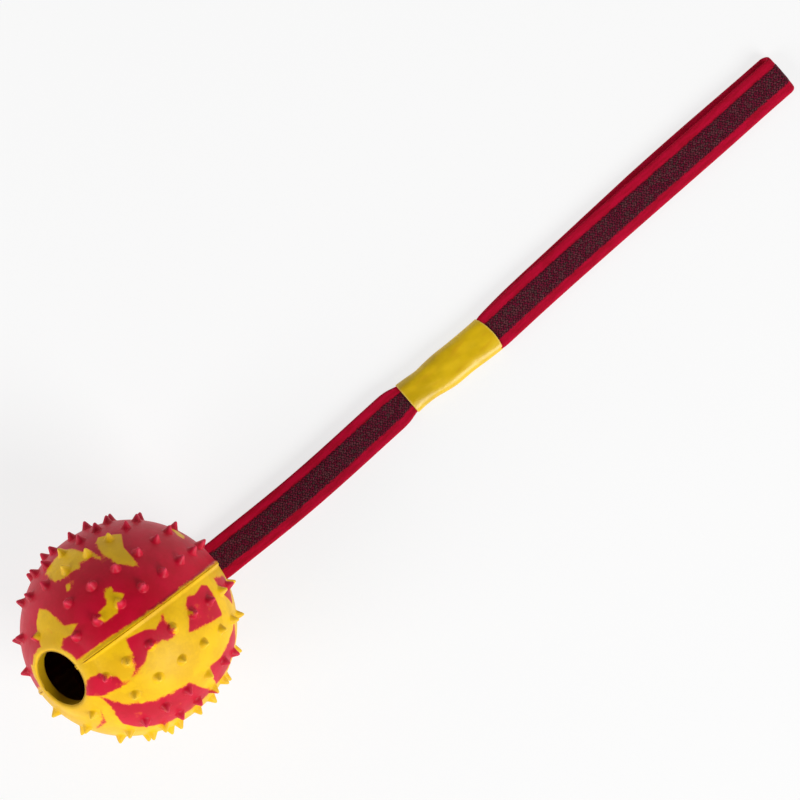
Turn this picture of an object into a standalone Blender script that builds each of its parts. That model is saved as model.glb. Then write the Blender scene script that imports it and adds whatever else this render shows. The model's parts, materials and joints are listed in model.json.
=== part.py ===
"""Dog throw ball: a hollow spiked rubber ball on a doubled strap of rubberised webbing that ends in a hand loop.

The ball is two bonded half shells. The strap's two tails pass through a hole opposite the ball's mouth and are held
inside by a stop washer. A shrunk-on sleeve keeps the two layers of the strap together and closes the hand loop.
Metres, +Z up, the strap runs along +X, and the object lies on the plane z = 0.
"""

import math

import bmesh
import bpy
from mathutils import Matrix, Vector

MM = 0.001

# Ball
BALL_RADIUS = 37.5 * MM
BALL_WALL = 3.0 * MM
BEAD_HEIGHT = 0.5 * MM
BEAD_HALF_WIDTH = 1.1 * MM
BEAD_GROOVE = 0.25 * MM
BOND_GAP = 0.2 * MM
MOUTH_RADIUS = 10.1 * MM
RIM_BEAD_RADIUS = 1.3 * MM
RIM_BEAD_SINK = 0.6 * MM

# Spikes: rings round the pole of each half, as degrees down from the pole and number in a full turn
SPIKE_HEIGHT = 2.9 * MM
SPIKE_BASE_RADIUS = 1.8 * MM
SPIKE_TIP_RADIUS = 0.35 * MM
SPIKE_ROOT = 0.5 * MM
SPIKE_RINGS = ((77.0, 25), (60.0, 21), (41.0, 17), (26.0, 14), (14.0, 7))
SPIKE_NEAR_BORE = (65.0, 25.0)
BARE_ANGLES = (24.0, 36.0, 0.0, 0.0, 0.0)
REST_STEPS = 3.5

# Strap
WEB_WIDTH = 15.0 * MM
WEB_THICKNESS = 1.7 * MM
WEB_EDGE_ROUND = 0.4 * MM
BAND_WIDTH = 7.7 * MM
BAND_THICKNESS = 2.0 * MM
FIT_GAP = 0.3 * MM
EXIT_AZIMUTH = 4.5
LEAD_LENGTH = 90.8 * MM
LOOP_HALF_LENGTH = 63.7 * MM
FOLD_ARM = 12.0 * MM
FOLD_EASE = 7.0 * MM

# Sideways place of the strap from the ball's centre at each flex, where it lies a little askew
KEEPER_SIDE = -2.95 * MM
LOOP_START_SIDE = -4.6 * MM
OVER_MIDDLE_SIDE = -3.3 * MM
UNDER_MIDDLE_SIDE = -1.5 * MM
OVER_END_SIDE = -2.6 * MM
UNDER_END_SIDE = -0.7 * MM

# Keeper sleeve, heights at its ball end and at its loop end
SLEEVE_LENGTH = 40.0 * MM
SLEEVE_WALL = 0.5 * MM
SLEEVE_LEAD_IN = 5.0 * MM
SLEEVE_HEIGHTS = (6.6 * MM, 5.9 * MM)
SLEEVE_CROWN = 0.35 * MM
SLEEVE_END_BULGE = 1.3 * MM

# The sleeve's outline seen from above, station by station: share of its length, share of its sideways drift, width
SLEEVE_STATIONS = (
    (0.0, 0.0, 13.3 * MM),
    (0.1, 0.04, 12.85 * MM),
    (0.23, 0.28, 12.65 * MM),
    (0.33, 0.44, 13.6 * MM),
    (0.45, 0.6, 14.5 * MM),
    (0.65, 0.72, 14.3 * MM),
    (0.85, 0.92, 14.75 * MM),
    (1.0, 1.0, 15.1 * MM),
)

# Stop washer and turned-back tails inside the ball
WASHER_RADIUS = 12.0 * MM
WASHER_RIM = 1.2 * MM
WASHER_SEAT_GAP = 0.5 * MM
TAIL_TURN_BACK = 16.0 * MM

# Facets
TURN_STEPS = 36
RIM_STEPS = 8
SPIKE_SIDES = 6
SPIKE_SHARP = 60
CAP_STEPS = 6
SECTION_CORNER_STEPS = 5
SECTION_TOP_STEPS = 6

# Sizes that follow from those above
LAYER_PITCH = BAND_THICKNESS + FIT_GAP
STACK = BAND_THICKNESS + LAYER_PITCH
STRAP_LIFT = SLEEVE_WALL + FIT_GAP
STRAP_MIDDLE = STRAP_LIFT + STACK / 2
LAYER_END = BAND_THICKNESS / 2 + FIT_GAP
STACK_END = STACK / 2 + FIT_GAP
EXIT_RADIUS = math.hypot(WEB_WIDTH / 2, STACK / 2) + FIT_GAP
BORE_ELEVATION = REST_STEPS * 360.0 / SPIKE_RINGS[0][1]
CLEAR_OF = 10 * MM


def clear_scene():
    """Removes whatever the scene holds."""
    for obj in list(bpy.data.objects):
        bpy.data.objects.remove(obj)


def collection(name):
    """A new collection of this name in the scene."""
    made = bpy.data.collections.new(name)
    bpy.context.scene.collection.children.link(made)
    return made


clear_scene()
PARTS = collection("dog_throw_ball")
CUTTERS = collection("cutters")


def material(name, colour, roughness):
    """A plain Principled material."""
    made = bpy.data.materials.new(name)
    made.use_nodes = True
    shader = made.node_tree.nodes["Principled BSDF"]
    shader.inputs["Base Color"].default_value = (*colour, 1.0)
    shader.inputs["Roughness"].default_value = roughness
    shader.inputs["Metallic"].default_value = 0.0
    return made


RED_RUBBER = material("red_rubber", (0.52, 0.005, 0.025), 0.45)
YELLOW_RUBBER = material("yellow_rubber", (0.90, 0.58, 0.01), 0.45)
RED_WEBBING = material("red_webbing", (0.45, 0.0, 0.025), 0.6)
GRIP_BAND = material("grip_band", (0.06, 0.012, 0.02), 0.7)
YELLOW_SLEEVE = material("yellow_sleeve", (0.80, 0.50, 0.01), 0.2)
BLACK_WASHER = material("black_washer", (0.02, 0.02, 0.02), 0.5)


def pivot(name, parent, location):
    """An empty on a joint's axis, at this place from its parent's origin."""
    empty = bpy.data.objects.new(name, None)
    empty.empty_display_size = 5 * MM
    empty.location = location
    empty.parent = parent
    PARTS.objects.link(empty)
    return empty


def add_part(name, mesh, materials, parent, rotation=None, sharp=35):
    """A piece of the object, shaded smooth except at edges over this many degrees."""
    obj = bpy.data.objects.new(name, mesh)
    for slot in materials:
        mesh.materials.append(slot)
    mesh.shade_smooth()
    mesh.set_sharp_from_angle(angle=math.radians(sharp))
    obj.parent = parent
    if rotation is not None:
        obj.rotation_euler = rotation.to_euler()
    PARTS.objects.link(obj)
    return obj


def add_helper(name, mesh, beside, slot=None):
    """A cutter or an added body, which shares the place of the piece that uses it."""
    obj = bpy.data.objects.new(name, mesh)
    if slot:
        mesh.materials.append(slot)
    obj.parent = beside.parent
    obj.rotation_euler = beside.rotation_euler
    obj.hide_render = True
    obj.display_type = "WIRE"
    CUTTERS.objects.link(obj)
    return obj


def boolean(obj, operation, helper):
    """Cuts the helper from the object or joins it on."""
    modifier = obj.modifiers.new(helper.name, "BOOLEAN")
    modifier.operation = operation
    modifier.solver = "EXACT"
    modifier.material_mode = "TRANSFER"
    modifier.object = helper
    return modifier


def evaluated_mesh(obj):
    """The object's mesh with its modifiers applied."""
    bpy.context.view_layer.update()
    graph = bpy.context.evaluated_depsgraph_get()
    return bpy.data.meshes.new_from_object(obj.evaluated_get(graph))


def turned(name, profile, steps=TURN_STEPS):
    """The mesh of a profile of (radius, height) points turned round Z."""
    mesh = bpy.data.meshes.new(name)
    points = [(radius, 0.0, height) for radius, height in profile]
    mesh.from_pydata(points, [(i, i + 1) for i in range(len(points) - 1)], [])
    obj = bpy.data.objects.new(name, mesh)
    CUTTERS.objects.link(obj)
    screw = obj.modifiers.new("turn", "SCREW")
    screw.steps = steps
    screw.render_steps = steps
    screw.use_merge_vertices = True
    screw.merge_threshold = 0.01 * MM
    made = evaluated_mesh(obj)
    bpy.data.objects.remove(obj)
    return made


def mesh_from(bm, name):
    """Turns an edit mesh into a mesh and frees it."""
    mesh = bpy.data.meshes.new(name)
    bm.to_mesh(mesh)
    bm.free()
    return mesh


def along_x(matrix=None):
    """Turns what was made along Z to lie along X."""
    turn = Matrix.Rotation(math.radians(90), 4, "Y")
    return turn if matrix is None else matrix @ turn


def cylinder_mesh(name, radius, start, end, sides):
    """A cylinder along X from start to end."""
    bm = bmesh.new()
    middle = Matrix.Translation(((start + end) / 2, 0, 0))
    bmesh.ops.create_cone(
        bm, cap_ends=True, segments=sides, radius1=radius, radius2=radius, depth=end - start,
        matrix=along_x(middle),
    )
    return mesh_from(bm, name)


def box_mesh(name, low, high):
    """A box between two corners."""
    bm = bmesh.new()
    low = Vector(low)
    high = Vector(high)
    size = Matrix.Diagonal((*(high - low), 1.0))
    bmesh.ops.create_cube(bm, size=1.0, matrix=Matrix.Translation((low + high) / 2) @ size)
    return mesh_from(bm, name)


def torus_mesh(name, major, minor, place):
    """A ring round X at this place along it."""
    bpy.ops.mesh.primitive_torus_add(
        major_segments=TURN_STEPS, minor_segments=RIM_STEPS, major_radius=major, minor_radius=minor
    )
    ring = bpy.context.active_object
    mesh = ring.data
    mesh.name = name
    mesh.transform(along_x(Matrix.Translation((place, 0, 0))))
    bpy.data.objects.remove(ring)
    return mesh


# The ball's own frame: X runs out along the strap's hole, Z to the left half's pole, Y to the side that faces down


def direction(colatitude, turn):
    """The unit direction at these degrees from Z and round it from X."""
    down = math.radians(colatitude)
    around = math.radians(turn)
    return Vector((math.sin(down) * math.cos(around), math.sin(down) * math.sin(around), math.cos(down)))


def bore_angle(towards):
    """Degrees from this direction to the nearer end of the bore through mouth and strap hole."""
    return math.degrees(math.acos(min(1.0, abs(towards.x))))


def spike_directions():
    """Where the spikes of the left half point, ring by ring. Each ring has one spike straight down."""
    found = []
    for (colatitude, count), bare in zip(SPIKE_RINGS, BARE_ANGLES):
        for step in range(count):
            towards = direction(colatitude, 90 + 360 * step / count)
            if bore_angle(towards) > bare:
                found.append(towards)
    colatitude = SPIKE_NEAR_BORE[0]
    found += [direction(colatitude, 0), direction(colatitude, 180)]
    return found


def spike_mesh():
    """One spike on Z: a blunt cone, rooted a little under the ball's surface."""
    bm = bmesh.new()
    depth = SPIKE_HEIGHT + SPIKE_ROOT
    middle = BALL_RADIUS - SPIKE_ROOT + depth / 2
    bmesh.ops.create_cone(
        bm, cap_ends=True, segments=SPIKE_SIDES, radius1=SPIKE_BASE_RADIUS, radius2=SPIKE_TIP_RADIUS, depth=depth,
        matrix=Matrix.Translation((0, 0, middle)),
    )
    return mesh_from(bm, "spike")


def spike_field():
    """All spikes of one half as one mesh."""
    bm = bmesh.new()
    spike = spike_mesh()
    for towards in spike_directions():
        turn = towards.to_track_quat("Z", "Y").to_matrix().to_4x4()
        copy = spike.copy()
        copy.transform(turn)
        bm.from_mesh(copy)
    return mesh_from(bm, "spikes")


def half_shell_profile():
    """The half shell's section: outer arc, half of the seam bead with its groove, inner arc."""
    outer_steps = 10
    inner_steps = 7
    bead_top = BEAD_HALF_WIDTH
    bead_start = math.asin(bead_top / BALL_RADIUS)
    profile = []
    for step in range(outer_steps + 1):
        up = math.radians(90) + (bead_start - math.radians(90)) * step / outer_steps
        profile.append((BALL_RADIUS * math.cos(up), BALL_RADIUS * math.sin(up)))
    crest = BALL_RADIUS + BEAD_HEIGHT
    profile.append((crest - BEAD_GROOVE, bead_top * 2 / 3))
    profile.append((crest, bead_top / 3 + BOND_GAP / 2))
    profile.append((crest - BEAD_GROOVE, BOND_GAP / 2))
    profile.append((crest - BEAD_GROOVE, -BEAD_HALF_WIDTH))
    inner = BALL_RADIUS - BALL_WALL
    profile.append((inner, -BEAD_HALF_WIDTH))
    for step in range(inner_steps + 1):
        up = math.radians(90) * step / inner_steps
        profile.append((inner * math.cos(up), inner * math.sin(up)))
    return profile


def rim_mesh():
    """The raised ring round the mouth."""
    around = MOUTH_RADIUS + RIM_BEAD_RADIUS
    out = math.sqrt(BALL_RADIUS**2 - around**2) - RIM_BEAD_SINK
    return torus_mesh("mouth_rim", around, RIM_BEAD_RADIUS, -out)


def make_left_shell(frame, rotation):
    """The left half: a turned shell with its spikes and rim joined on and its two holes and seam cut."""
    half = turned("half_shell", half_shell_profile())
    shell = add_part("ball_shell_left", half, [RED_RUBBER], frame, rotation, SPIKE_SHARP)
    reach = BALL_RADIUS + SPIKE_HEIGHT + CLEAR_OF
    boolean(shell, "UNION", add_helper("spikes", spike_field(), shell, RED_RUBBER))
    boolean(shell, "UNION", add_helper("mouth_rim", rim_mesh(), shell, RED_RUBBER))
    mouth = cylinder_mesh("mouth", MOUTH_RADIUS, -reach, 0, TURN_STEPS)
    boolean(shell, "DIFFERENCE", add_helper("mouth", mouth, shell, RED_RUBBER))
    strap_hole = cylinder_mesh("strap_hole", EXIT_RADIUS, 0, reach, TURN_STEPS)
    boolean(shell, "DIFFERENCE", add_helper("strap_hole", strap_hole, shell, RED_RUBBER))
    seam = box_mesh("seam", (-reach, -reach, -reach), (reach, reach, BOND_GAP / 2))
    boolean(shell, "DIFFERENCE", add_helper("seam", seam, shell, RED_RUBBER))
    return shell


def make_right_shell(left):
    """The right half, moulded as the mirror image of the left."""
    mesh = evaluated_mesh(left)
    mesh.name = "half_shell_right"
    mesh.transform(Matrix.Scale(-1, 4, (0, 0, 1)))
    mesh.flip_normals()
    mesh.materials.clear()
    rotation = left.rotation_euler.to_matrix()
    return add_part("ball_shell_right", mesh, [YELLOW_RUBBER], left.parent, rotation, SPIKE_SHARP)


# Webbing: flat strips whose side outlines are drawn in the XZ plane and extruded across the strap


def turned_by(vector, degrees):
    """A flat vector turned anticlockwise."""
    return Matrix.Rotation(math.radians(degrees), 2) @ vector


def strip_outline(path, thickness, round_start, round_end):
    """The closed outline of a strip along a centreline, with half-round ends where asked."""
    left = []
    right = []
    for i, point in enumerate(path):
        ahead = path[min(i + 1, len(path) - 1)]
        behind = path[max(i - 1, 0)]
        side = turned_by((ahead - behind).normalized(), 90) * thickness / 2
        left.append(point + side)
        right.append(point - side)
    outline = list(left)
    if round_end:
        side = left[-1] - path[-1]
        outline += [path[-1] + turned_by(side, -180 * k / CAP_STEPS) for k in range(1, CAP_STEPS)]
    outline += reversed(right)
    if round_start:
        side = right[0] - path[0]
        outline += [path[0] + turned_by(side, -180 * k / CAP_STEPS) for k in range(1, CAP_STEPS)]
    return outline


def strip_mesh(name, path, width, thickness, rounds, lay):
    """A strip of the given width, its outline extruded across Y, then laid askew by the given rule."""
    curve = bpy.data.curves.new(name, "CURVE")
    curve.dimensions = "2D"
    curve.fill_mode = "BOTH"
    curve.extrude = width / 2
    outline = strip_outline(path, thickness, *rounds)
    spline = curve.splines.new("POLY")
    spline.points.add(len(outline) - 1)
    spline.use_cyclic_u = True
    for point, (along, up) in zip(spline.points, outline):
        point.co = (along, up, 0.0, 1.0)
    obj = bpy.data.objects.new(name, curve)
    CUTTERS.objects.link(obj)
    mesh = evaluated_mesh(obj)
    bpy.data.objects.remove(obj)
    mesh.transform(Matrix.Rotation(math.radians(90), 4, "X"))
    bm = bmesh.new()
    bm.from_mesh(mesh)
    bmesh.ops.remove_doubles(bm, verts=bm.verts, dist=0.001 * MM)
    bmesh.ops.recalc_face_normals(bm, faces=bm.faces)
    for vert in bm.verts:
        vert.co += lay(vert.co)
    return mesh_from(bm, name)


def straight(co):
    """Leaves a strip where it is."""
    return Vector((0, 0, 0))


def drifting(along, sideways):
    """A rule that lets a strip drift sideways by this much over this length."""
    return lambda co: Vector((0, sideways * co.x / along, 0))


def webbing(name, parent, path, rounds=(True, False), lay=straight, rotation=None):
    """One length of strap: red webbing with a band of rubber threads standing a little proud of both faces."""
    web = add_part(name, strip_mesh(name, path, WEB_WIDTH, WEB_THICKNESS, rounds, lay), [RED_WEBBING], parent, rotation)
    bevel = web.modifiers.new("rounded_edges", "BEVEL")
    bevel.width = WEB_EDGE_ROUND
    bevel.segments = 2
    bevel.limit_method = "ANGLE"
    bevel.angle_limit = math.radians(60)
    band = strip_mesh(name + "_band", path, BAND_WIDTH, BAND_THICKNESS, rounds, lay)
    boolean(web, "UNION", add_helper(name + "_band", band, web, GRIP_BAND))
    return web


def run(start, end):
    """A straight centreline."""
    return [Vector(start), Vector(end)]


def fold_path(arm, back, bulge):
    """A centreline that runs out by arm, turns over itself in a loose bend and comes back to this distance."""
    ease_steps = 3
    turn_steps = 8
    ease = [k / ease_steps for k in range(ease_steps + 1)]
    ease_length = FOLD_EASE if bulge else 0.0
    out = [Vector((0, 0))]
    if bulge:
        out += [Vector((arm - ease_length * (1 - s), -bulge * s * s * (3 - 2 * s))) for s in ease[:-1]]
    centre = Vector((arm, LAYER_PITCH / 2))
    radius = LAYER_PITCH / 2 + bulge
    bend = [centre + turned_by(Vector((0, -radius)), 180 * k / turn_steps) for k in range(turn_steps + 1)]
    home = [Vector((point.x, LAYER_PITCH - point.y)) for point in reversed(out[1:])]
    return out + bend + home + [Vector((back, LAYER_PITCH))]


def make_tails(anchor, rotation, reach):
    """The strap's two tails: out through the strap hole, and turned back inside behind the washer."""
    start = reach - STACK_END
    turn_back_end = washer_face() - FIT_GAP
    arm = start - (turn_back_end - TAIL_TURN_BACK)
    path = fold_path(arm, start - turn_back_end, 0.0)
    for name, up in (("strap_tail_over", 1), ("strap_tail_under", -1)):
        placed = [Vector((start - point.x, up * (LAYER_PITCH / 2 + point.y))) for point in path]
        webbing(name, anchor, placed, (False, False), rotation=rotation)


def washer_face():
    """How far from the ball's centre the washer's flat face lies."""
    seat = BALL_RADIUS - BALL_WALL - WASHER_SEAT_GAP
    return math.sqrt(seat**2 - WASHER_RADIUS**2) - WASHER_RIM


def make_washer(anchor, rotation):
    """A button whose domed face fits the inside of the ball, with a slot for the doubled strap."""
    seat = BALL_RADIUS - BALL_WALL - WASHER_SEAT_GAP
    dome_steps = 6
    radii = [WASHER_RADIUS * k / dome_steps for k in range(dome_steps + 1)]
    profile = [(radius, math.sqrt(seat**2 - radius**2)) for radius in radii]
    profile += [(WASHER_RADIUS, washer_face()), (0.0, washer_face())]
    mesh = turned("washer", profile)
    mesh.transform(along_x())
    washer = add_part("stop_washer", mesh, [BLACK_WASHER], anchor, rotation)
    half_width = WEB_WIDTH / 2 + FIT_GAP
    half_height = STACK / 2 + FIT_GAP
    slot = box_mesh("washer_slot", (0, -half_width, -half_height), (BALL_RADIUS, half_width, half_height))
    boolean(washer, "DIFFERENCE", add_helper("washer_slot", slot, washer, BLACK_WASHER))


def make_lead(lead, turn):
    """The two layers between ball and sleeve, whose near end is square to the strap hole's direction."""
    length = LEAD_LENGTH - STACK_END
    sideways = (KEEPER_SIDE - lead.location.y) / LEAD_LENGTH

    def lay(co):
        left_to_go = 1 - co.x / length
        return Vector((math.tan(turn) * co.y * left_to_go, sideways * co.x, 0))

    for name, up in (("strap_lead_over", LAYER_PITCH / 2), ("strap_lead_under", -LAYER_PITCH / 2)):
        webbing(name, lead, run((0, up), (length, up)), lay=lay)


def section(width, height, crown, floor):
    """A flat-bottomed, slightly domed section with round corners, as (y, z) points from its floor up."""
    corner = height * 0.42
    points = []
    for quarter in range(4):
        across = 1 if quarter in (0, 3) else -1
        up = 1 if quarter in (0, 1) else -1
        centre = Vector((across * (width / 2 - corner), up * (height / 2 - corner)))
        for k in range(SECTION_CORNER_STEPS):
            angle = 90 * quarter + 90 * k / (SECTION_CORNER_STEPS - 1)
            points.append(centre + turned_by(Vector((corner, 0)), angle))
        if quarter == 0:
            top = points[-1]
            points += [top.lerp(Vector((-top.x, top.y)), k / SECTION_TOP_STEPS) for k in range(1, SECTION_TOP_STEPS)]
    for point in points:
        dome = crown * (1 - (2 * point.x / width) ** 2) if point.y > 0 else 0.0
        point.y += floor + height / 2 + dome
    return points


def loft(name, rings, caps):
    """Joins sections of equal point counts into a skin, closed at both ends where asked."""
    bm = bmesh.new()
    made = [[bm.verts.new(point) for point in ring] for ring in rings]
    for ring, after in zip(made, made[1:]):
        for i in range(len(ring)):
            j = (i + 1) % len(ring)
            bm.faces.new((ring[i], ring[j], after[j], after[i]))
    if caps:
        bm.faces.new(made[0])
        bm.faces.new(list(reversed(made[-1])))
    bmesh.ops.recalc_face_normals(bm, faces=bm.faces)
    return mesh_from(bm, name)


def between(pair, share):
    """A value this share of the way from the first of a pair to the second."""
    return pair[0] + (pair[1] - pair[0]) * share


def sleeve_section(station, inset):
    """The sleeve's section at one of its stations, drawn in on all sides by inset: points, width and sideways drift."""
    share, drift_share, full_width = station
    width = full_width - 2 * inset
    height = between(SLEEVE_HEIGHTS, share) - 2 * inset - SLEEVE_CROWN
    side = (LOOP_START_SIDE - KEEPER_SIDE) * drift_share
    return section(width, height, SLEEVE_CROWN, inset - STRAP_MIDDLE), width, side


def make_sleeve(keeper):
    """The shrunk-on sleeve: a tapered skin with a wall, its loop end cut to a bow."""
    rings = []
    for station in SLEEVE_STATIONS:
        points, width, side = sleeve_section(station, 0.0)
        share = station[0]
        along = SLEEVE_LEAD_IN + SLEEVE_LENGTH * share
        bow = SLEEVE_END_BULGE * share
        rings.append([(along - bow * (2 * y / width) ** 2, y + side, z) for y, z in points])
    sleeve = add_part("keeper_sleeve", loft("keeper_sleeve", rings, False), [YELLOW_SLEEVE], keeper)
    wall = sleeve.modifiers.new("wall", "SOLIDIFY")
    wall.thickness = SLEEVE_WALL
    wall.offset = -1
    return sleeve


def make_squeezed_strap(keeper):
    """The doubled strap where the sleeve squeezes it: full width at its flex, drawn in at the sleeve."""
    inset = SLEEVE_WALL + FIT_GAP
    rings = []
    half = STACK / 2
    start = section(WEB_WIDTH, STACK, 0.0, -half)
    for degrees in (70, 40, 15):
        back = -half * math.sin(math.radians(degrees))
        flat = math.cos(math.radians(degrees))
        rings.append([(back, y, z * flat) for y, z in start])
    mouth = sleeve_section(SLEEVE_STATIONS[0], inset)[0]
    lead_in_steps = 4
    for k in range(lead_in_steps + 1):
        share = k / lead_in_steps
        eased = share * share * (3 - 2 * share)
        along = (SLEEVE_LEAD_IN - FIT_GAP) * share
        rings.append([(along, y, z) for y, z in (between(pair, eased) for pair in zip(start, mouth))])
    for station in SLEEVE_STATIONS[1:]:
        points, width, side = sleeve_section(station, inset)
        share = station[0]
        along = SLEEVE_LEAD_IN + SLEEVE_LENGTH * share + FIT_GAP * (share == 1.0)
        rings.append([(along, y + side, z) for y, z in points])
    add_part("strap_in_sleeve", loft("strap_in_sleeve", rings, True), [RED_WEBBING], keeper)


def make_hand_loop(keeper):
    """The hand loop: two hinged lengths above, the end fold, and two hinged lengths back below."""
    step = LOOP_HALF_LENGTH
    start = SLEEVE_LEAD_IN + SLEEVE_LENGTH + FIT_GAP + LAYER_END
    drift_near = OVER_MIDDLE_SIDE - LOOP_START_SIDE
    drift_far = OVER_END_SIDE - OVER_MIDDLE_SIDE
    run_on = run((0, 0), (step - LAYER_END, 0))
    near_place = (start, LOOP_START_SIDE - KEEPER_SIDE, LAYER_PITCH / 2)
    over_near = pivot("loop_open_hinge", keeper, near_place)
    webbing("loop_over_near", over_near, run_on, lay=drifting(step, drift_near))
    over_far = pivot("loop_over_middle_hinge", over_near, (step, drift_near, 0))
    webbing("loop_over_far", over_far, run_on, lay=drifting(step, drift_far))
    fold = pivot("loop_fold_over_hinge", over_far, (step, drift_far, 0))
    across = UNDER_END_SIDE - OVER_END_SIDE

    def lay_fold(co):
        return Vector((0, across * min(1.0, max(0.0, -co.z / LAYER_PITCH)), 0))

    turn_down = [Vector((point.x, -point.y)) for point in fold_path(FOLD_ARM, LAYER_END, STRAP_LIFT)]
    webbing("loop_end_fold", fold, turn_down, lay=lay_fold)
    back_far = UNDER_MIDDLE_SIDE - UNDER_END_SIDE
    back_near = LOOP_START_SIDE - UNDER_MIDDLE_SIDE
    run_back = run((0, 0), (LAYER_END - step, 0))
    under_far = pivot("loop_fold_under_hinge", fold, (0, across, -LAYER_PITCH))
    webbing("loop_under_far", under_far, run_back, lay=drifting(-step, back_far))
    under_near = pivot("loop_under_middle_hinge", under_far, (-step, back_far, 0))
    webbing("loop_under_near", under_near, run((0, 0), (-step, 0)), (True, True), drifting(-step, back_near))


def main():
    """Builds the ball, lays it on its lowest spikes, and hangs the strap's bodies on one another."""
    fall = math.radians(BORE_ELEVATION)
    turn = math.radians(EXIT_AZIMUTH)
    level = Vector((math.sin(turn), math.cos(turn), 0))
    out = Vector((math.cos(fall) * math.cos(turn), -math.cos(fall) * math.sin(turn), -math.sin(fall)))
    above = out.cross(level)
    ball_rotation = Matrix((out, -above, level)).transposed()
    strap_rotation = Matrix((out, level, above)).transposed()

    ball = pivot("ball_centre", None, (0, 0, 0))
    left = make_left_shell(ball, ball_rotation)
    right = make_right_shell(left)
    placed = [ball_rotation @ vert.co for shell in (left, right) for vert in evaluated_mesh(shell).vertices]
    height = -min(point.z for point in placed)
    reach = (height - STRAP_MIDDLE) / math.sin(fall)

    anchor = pivot("swivel_axis", ball, (0, 0, 0))
    make_washer(anchor, strap_rotation)
    make_tails(anchor, strap_rotation, reach)
    lead = pivot("lead_hinge", anchor, out * reach)
    make_lead(lead, turn)
    keeper = pivot("keeper_hinge", lead, (LEAD_LENGTH, KEEPER_SIDE - lead.location.y, 0))
    make_sleeve(keeper)
    make_squeezed_strap(keeper)
    make_hand_loop(keeper)

    strap_end = lead.location.x + LEAD_LENGTH + SLEEVE_LEAD_IN + SLEEVE_LENGTH + FIT_GAP + LAYER_END
    strap_end += 2 * LOOP_HALF_LENGTH + FOLD_ARM + STRAP_LIFT + LAYER_PITCH / 2 + BAND_THICKNESS / 2
    ball.location = (-(strap_end + min(point.x for point in placed)) / 2, 0, height)


main()
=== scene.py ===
"""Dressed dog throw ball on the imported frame: marbled spiked rubber, woven strap, shrunk-on sleeve, studio.

Metres, +Z up. The strap runs along +X, and the object lies on the plane z = 0.
"""

import json
import math
import random

import bmesh
import bpy
import numpy as np
from mathutils import Matrix, Vector


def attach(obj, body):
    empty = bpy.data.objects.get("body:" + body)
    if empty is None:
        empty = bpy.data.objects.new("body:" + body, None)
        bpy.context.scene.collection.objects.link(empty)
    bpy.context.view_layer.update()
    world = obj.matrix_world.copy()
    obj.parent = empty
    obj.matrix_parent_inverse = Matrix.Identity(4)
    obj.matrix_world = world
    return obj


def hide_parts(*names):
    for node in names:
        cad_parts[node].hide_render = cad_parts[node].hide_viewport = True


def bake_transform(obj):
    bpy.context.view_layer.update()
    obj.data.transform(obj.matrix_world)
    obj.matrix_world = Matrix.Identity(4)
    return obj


MM = 0.001

# Ball, as in the CAD
BALL_RADIUS = 37.5 * MM
BALL_WALL = 3.0 * MM
BEAD_HEIGHT = 0.5 * MM
BEAD_HALF_WIDTH = 1.1 * MM
BEAD_GROOVE = 0.25 * MM
MOUTH_RADIUS = 10.1 * MM
RIM_HEIGHT = 0.7 * MM
SPIKE_RINGS = ((77.0, 25), (60.0, 21), (41.0, 17), (26.0, 14), (14.0, 7))
SPIKE_NEAR_BORE = 65.0
BARE_ANGLES = (24.0, 36.0, 0.0, 0.0, 0.0)

# Strap, as in the CAD
WEB_WIDTH = 15.0 * MM
BAND_WIDTH = 7.7 * MM
BAND_THICKNESS = 2.0 * MM
FIT_GAP = 0.3 * MM
LAYER_PITCH = BAND_THICKNESS + FIT_GAP
STACK = 2 * BAND_THICKNESS + FIT_GAP
EXIT_RADIUS = math.hypot(WEB_WIDTH / 2, STACK / 2) + FIT_GAP
TAIL_START = 14.31 * MM
TAIL_END = 30.31 * MM
STRAP_LIFT = 0.8 * MM
FOLD_ARM = 12.0 * MM
FOLD_EASE = 7.0 * MM

# Sleeve, as in the CAD
SLEEVE_LEAD_IN = 5.0 * MM
SLEEVE_LENGTH = 40.0 * MM
SLEEVE_HEIGHTS = (6.6 * MM, 5.9 * MM)
SLEEVE_CROWN = 0.35 * MM
SLEEVE_BOW = 1.3 * MM

# Sizes of the dressing alone
SEAM_GAP = 0.01 * MM
SHELL_STEPS = 360
SHELL_ARCS = 88
ROUND_STEPS = 160
CUTTER_REACH = 60 * MM
GROOVE_HALF_WIDTH = 0.16 * MM
SPIKE_SIDES = 20
SPIKE_ROOT = 1.0 * MM
RIM_SPREAD = 5.5 * MM
RIM_CREST = 1.3 * MM
RIM_OVERLAP = 1.0 * MM
RIM_SINK = 0.02 * MM
RIM_ROUNDING = (1.27 * MM, 1.1 * MM)
RIM_ROOTS = (33.2 * MM, 35.0 * MM)
BEND_RADIUS = 11.0 * MM
STEP_STRAIGHT = 1.5 * MM
STEP_BENT = 0.6 * MM
BENT_REACH = 9.6 * MM
SLEEVE_FILM = 0.35 * MM
SLEEVE_SHOULDERS = (4.4 * MM, 4.0 * MM)
SLEEVE_FULLNESS = 0.85
SLEEVE_SKEW = 0.35 * MM
SLEEVE_DENT = 0.09 * MM
SLEEVE_RIM_FADE = 0.6 * MM
THREAD_RADIUS = 0.2 * MM

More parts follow.
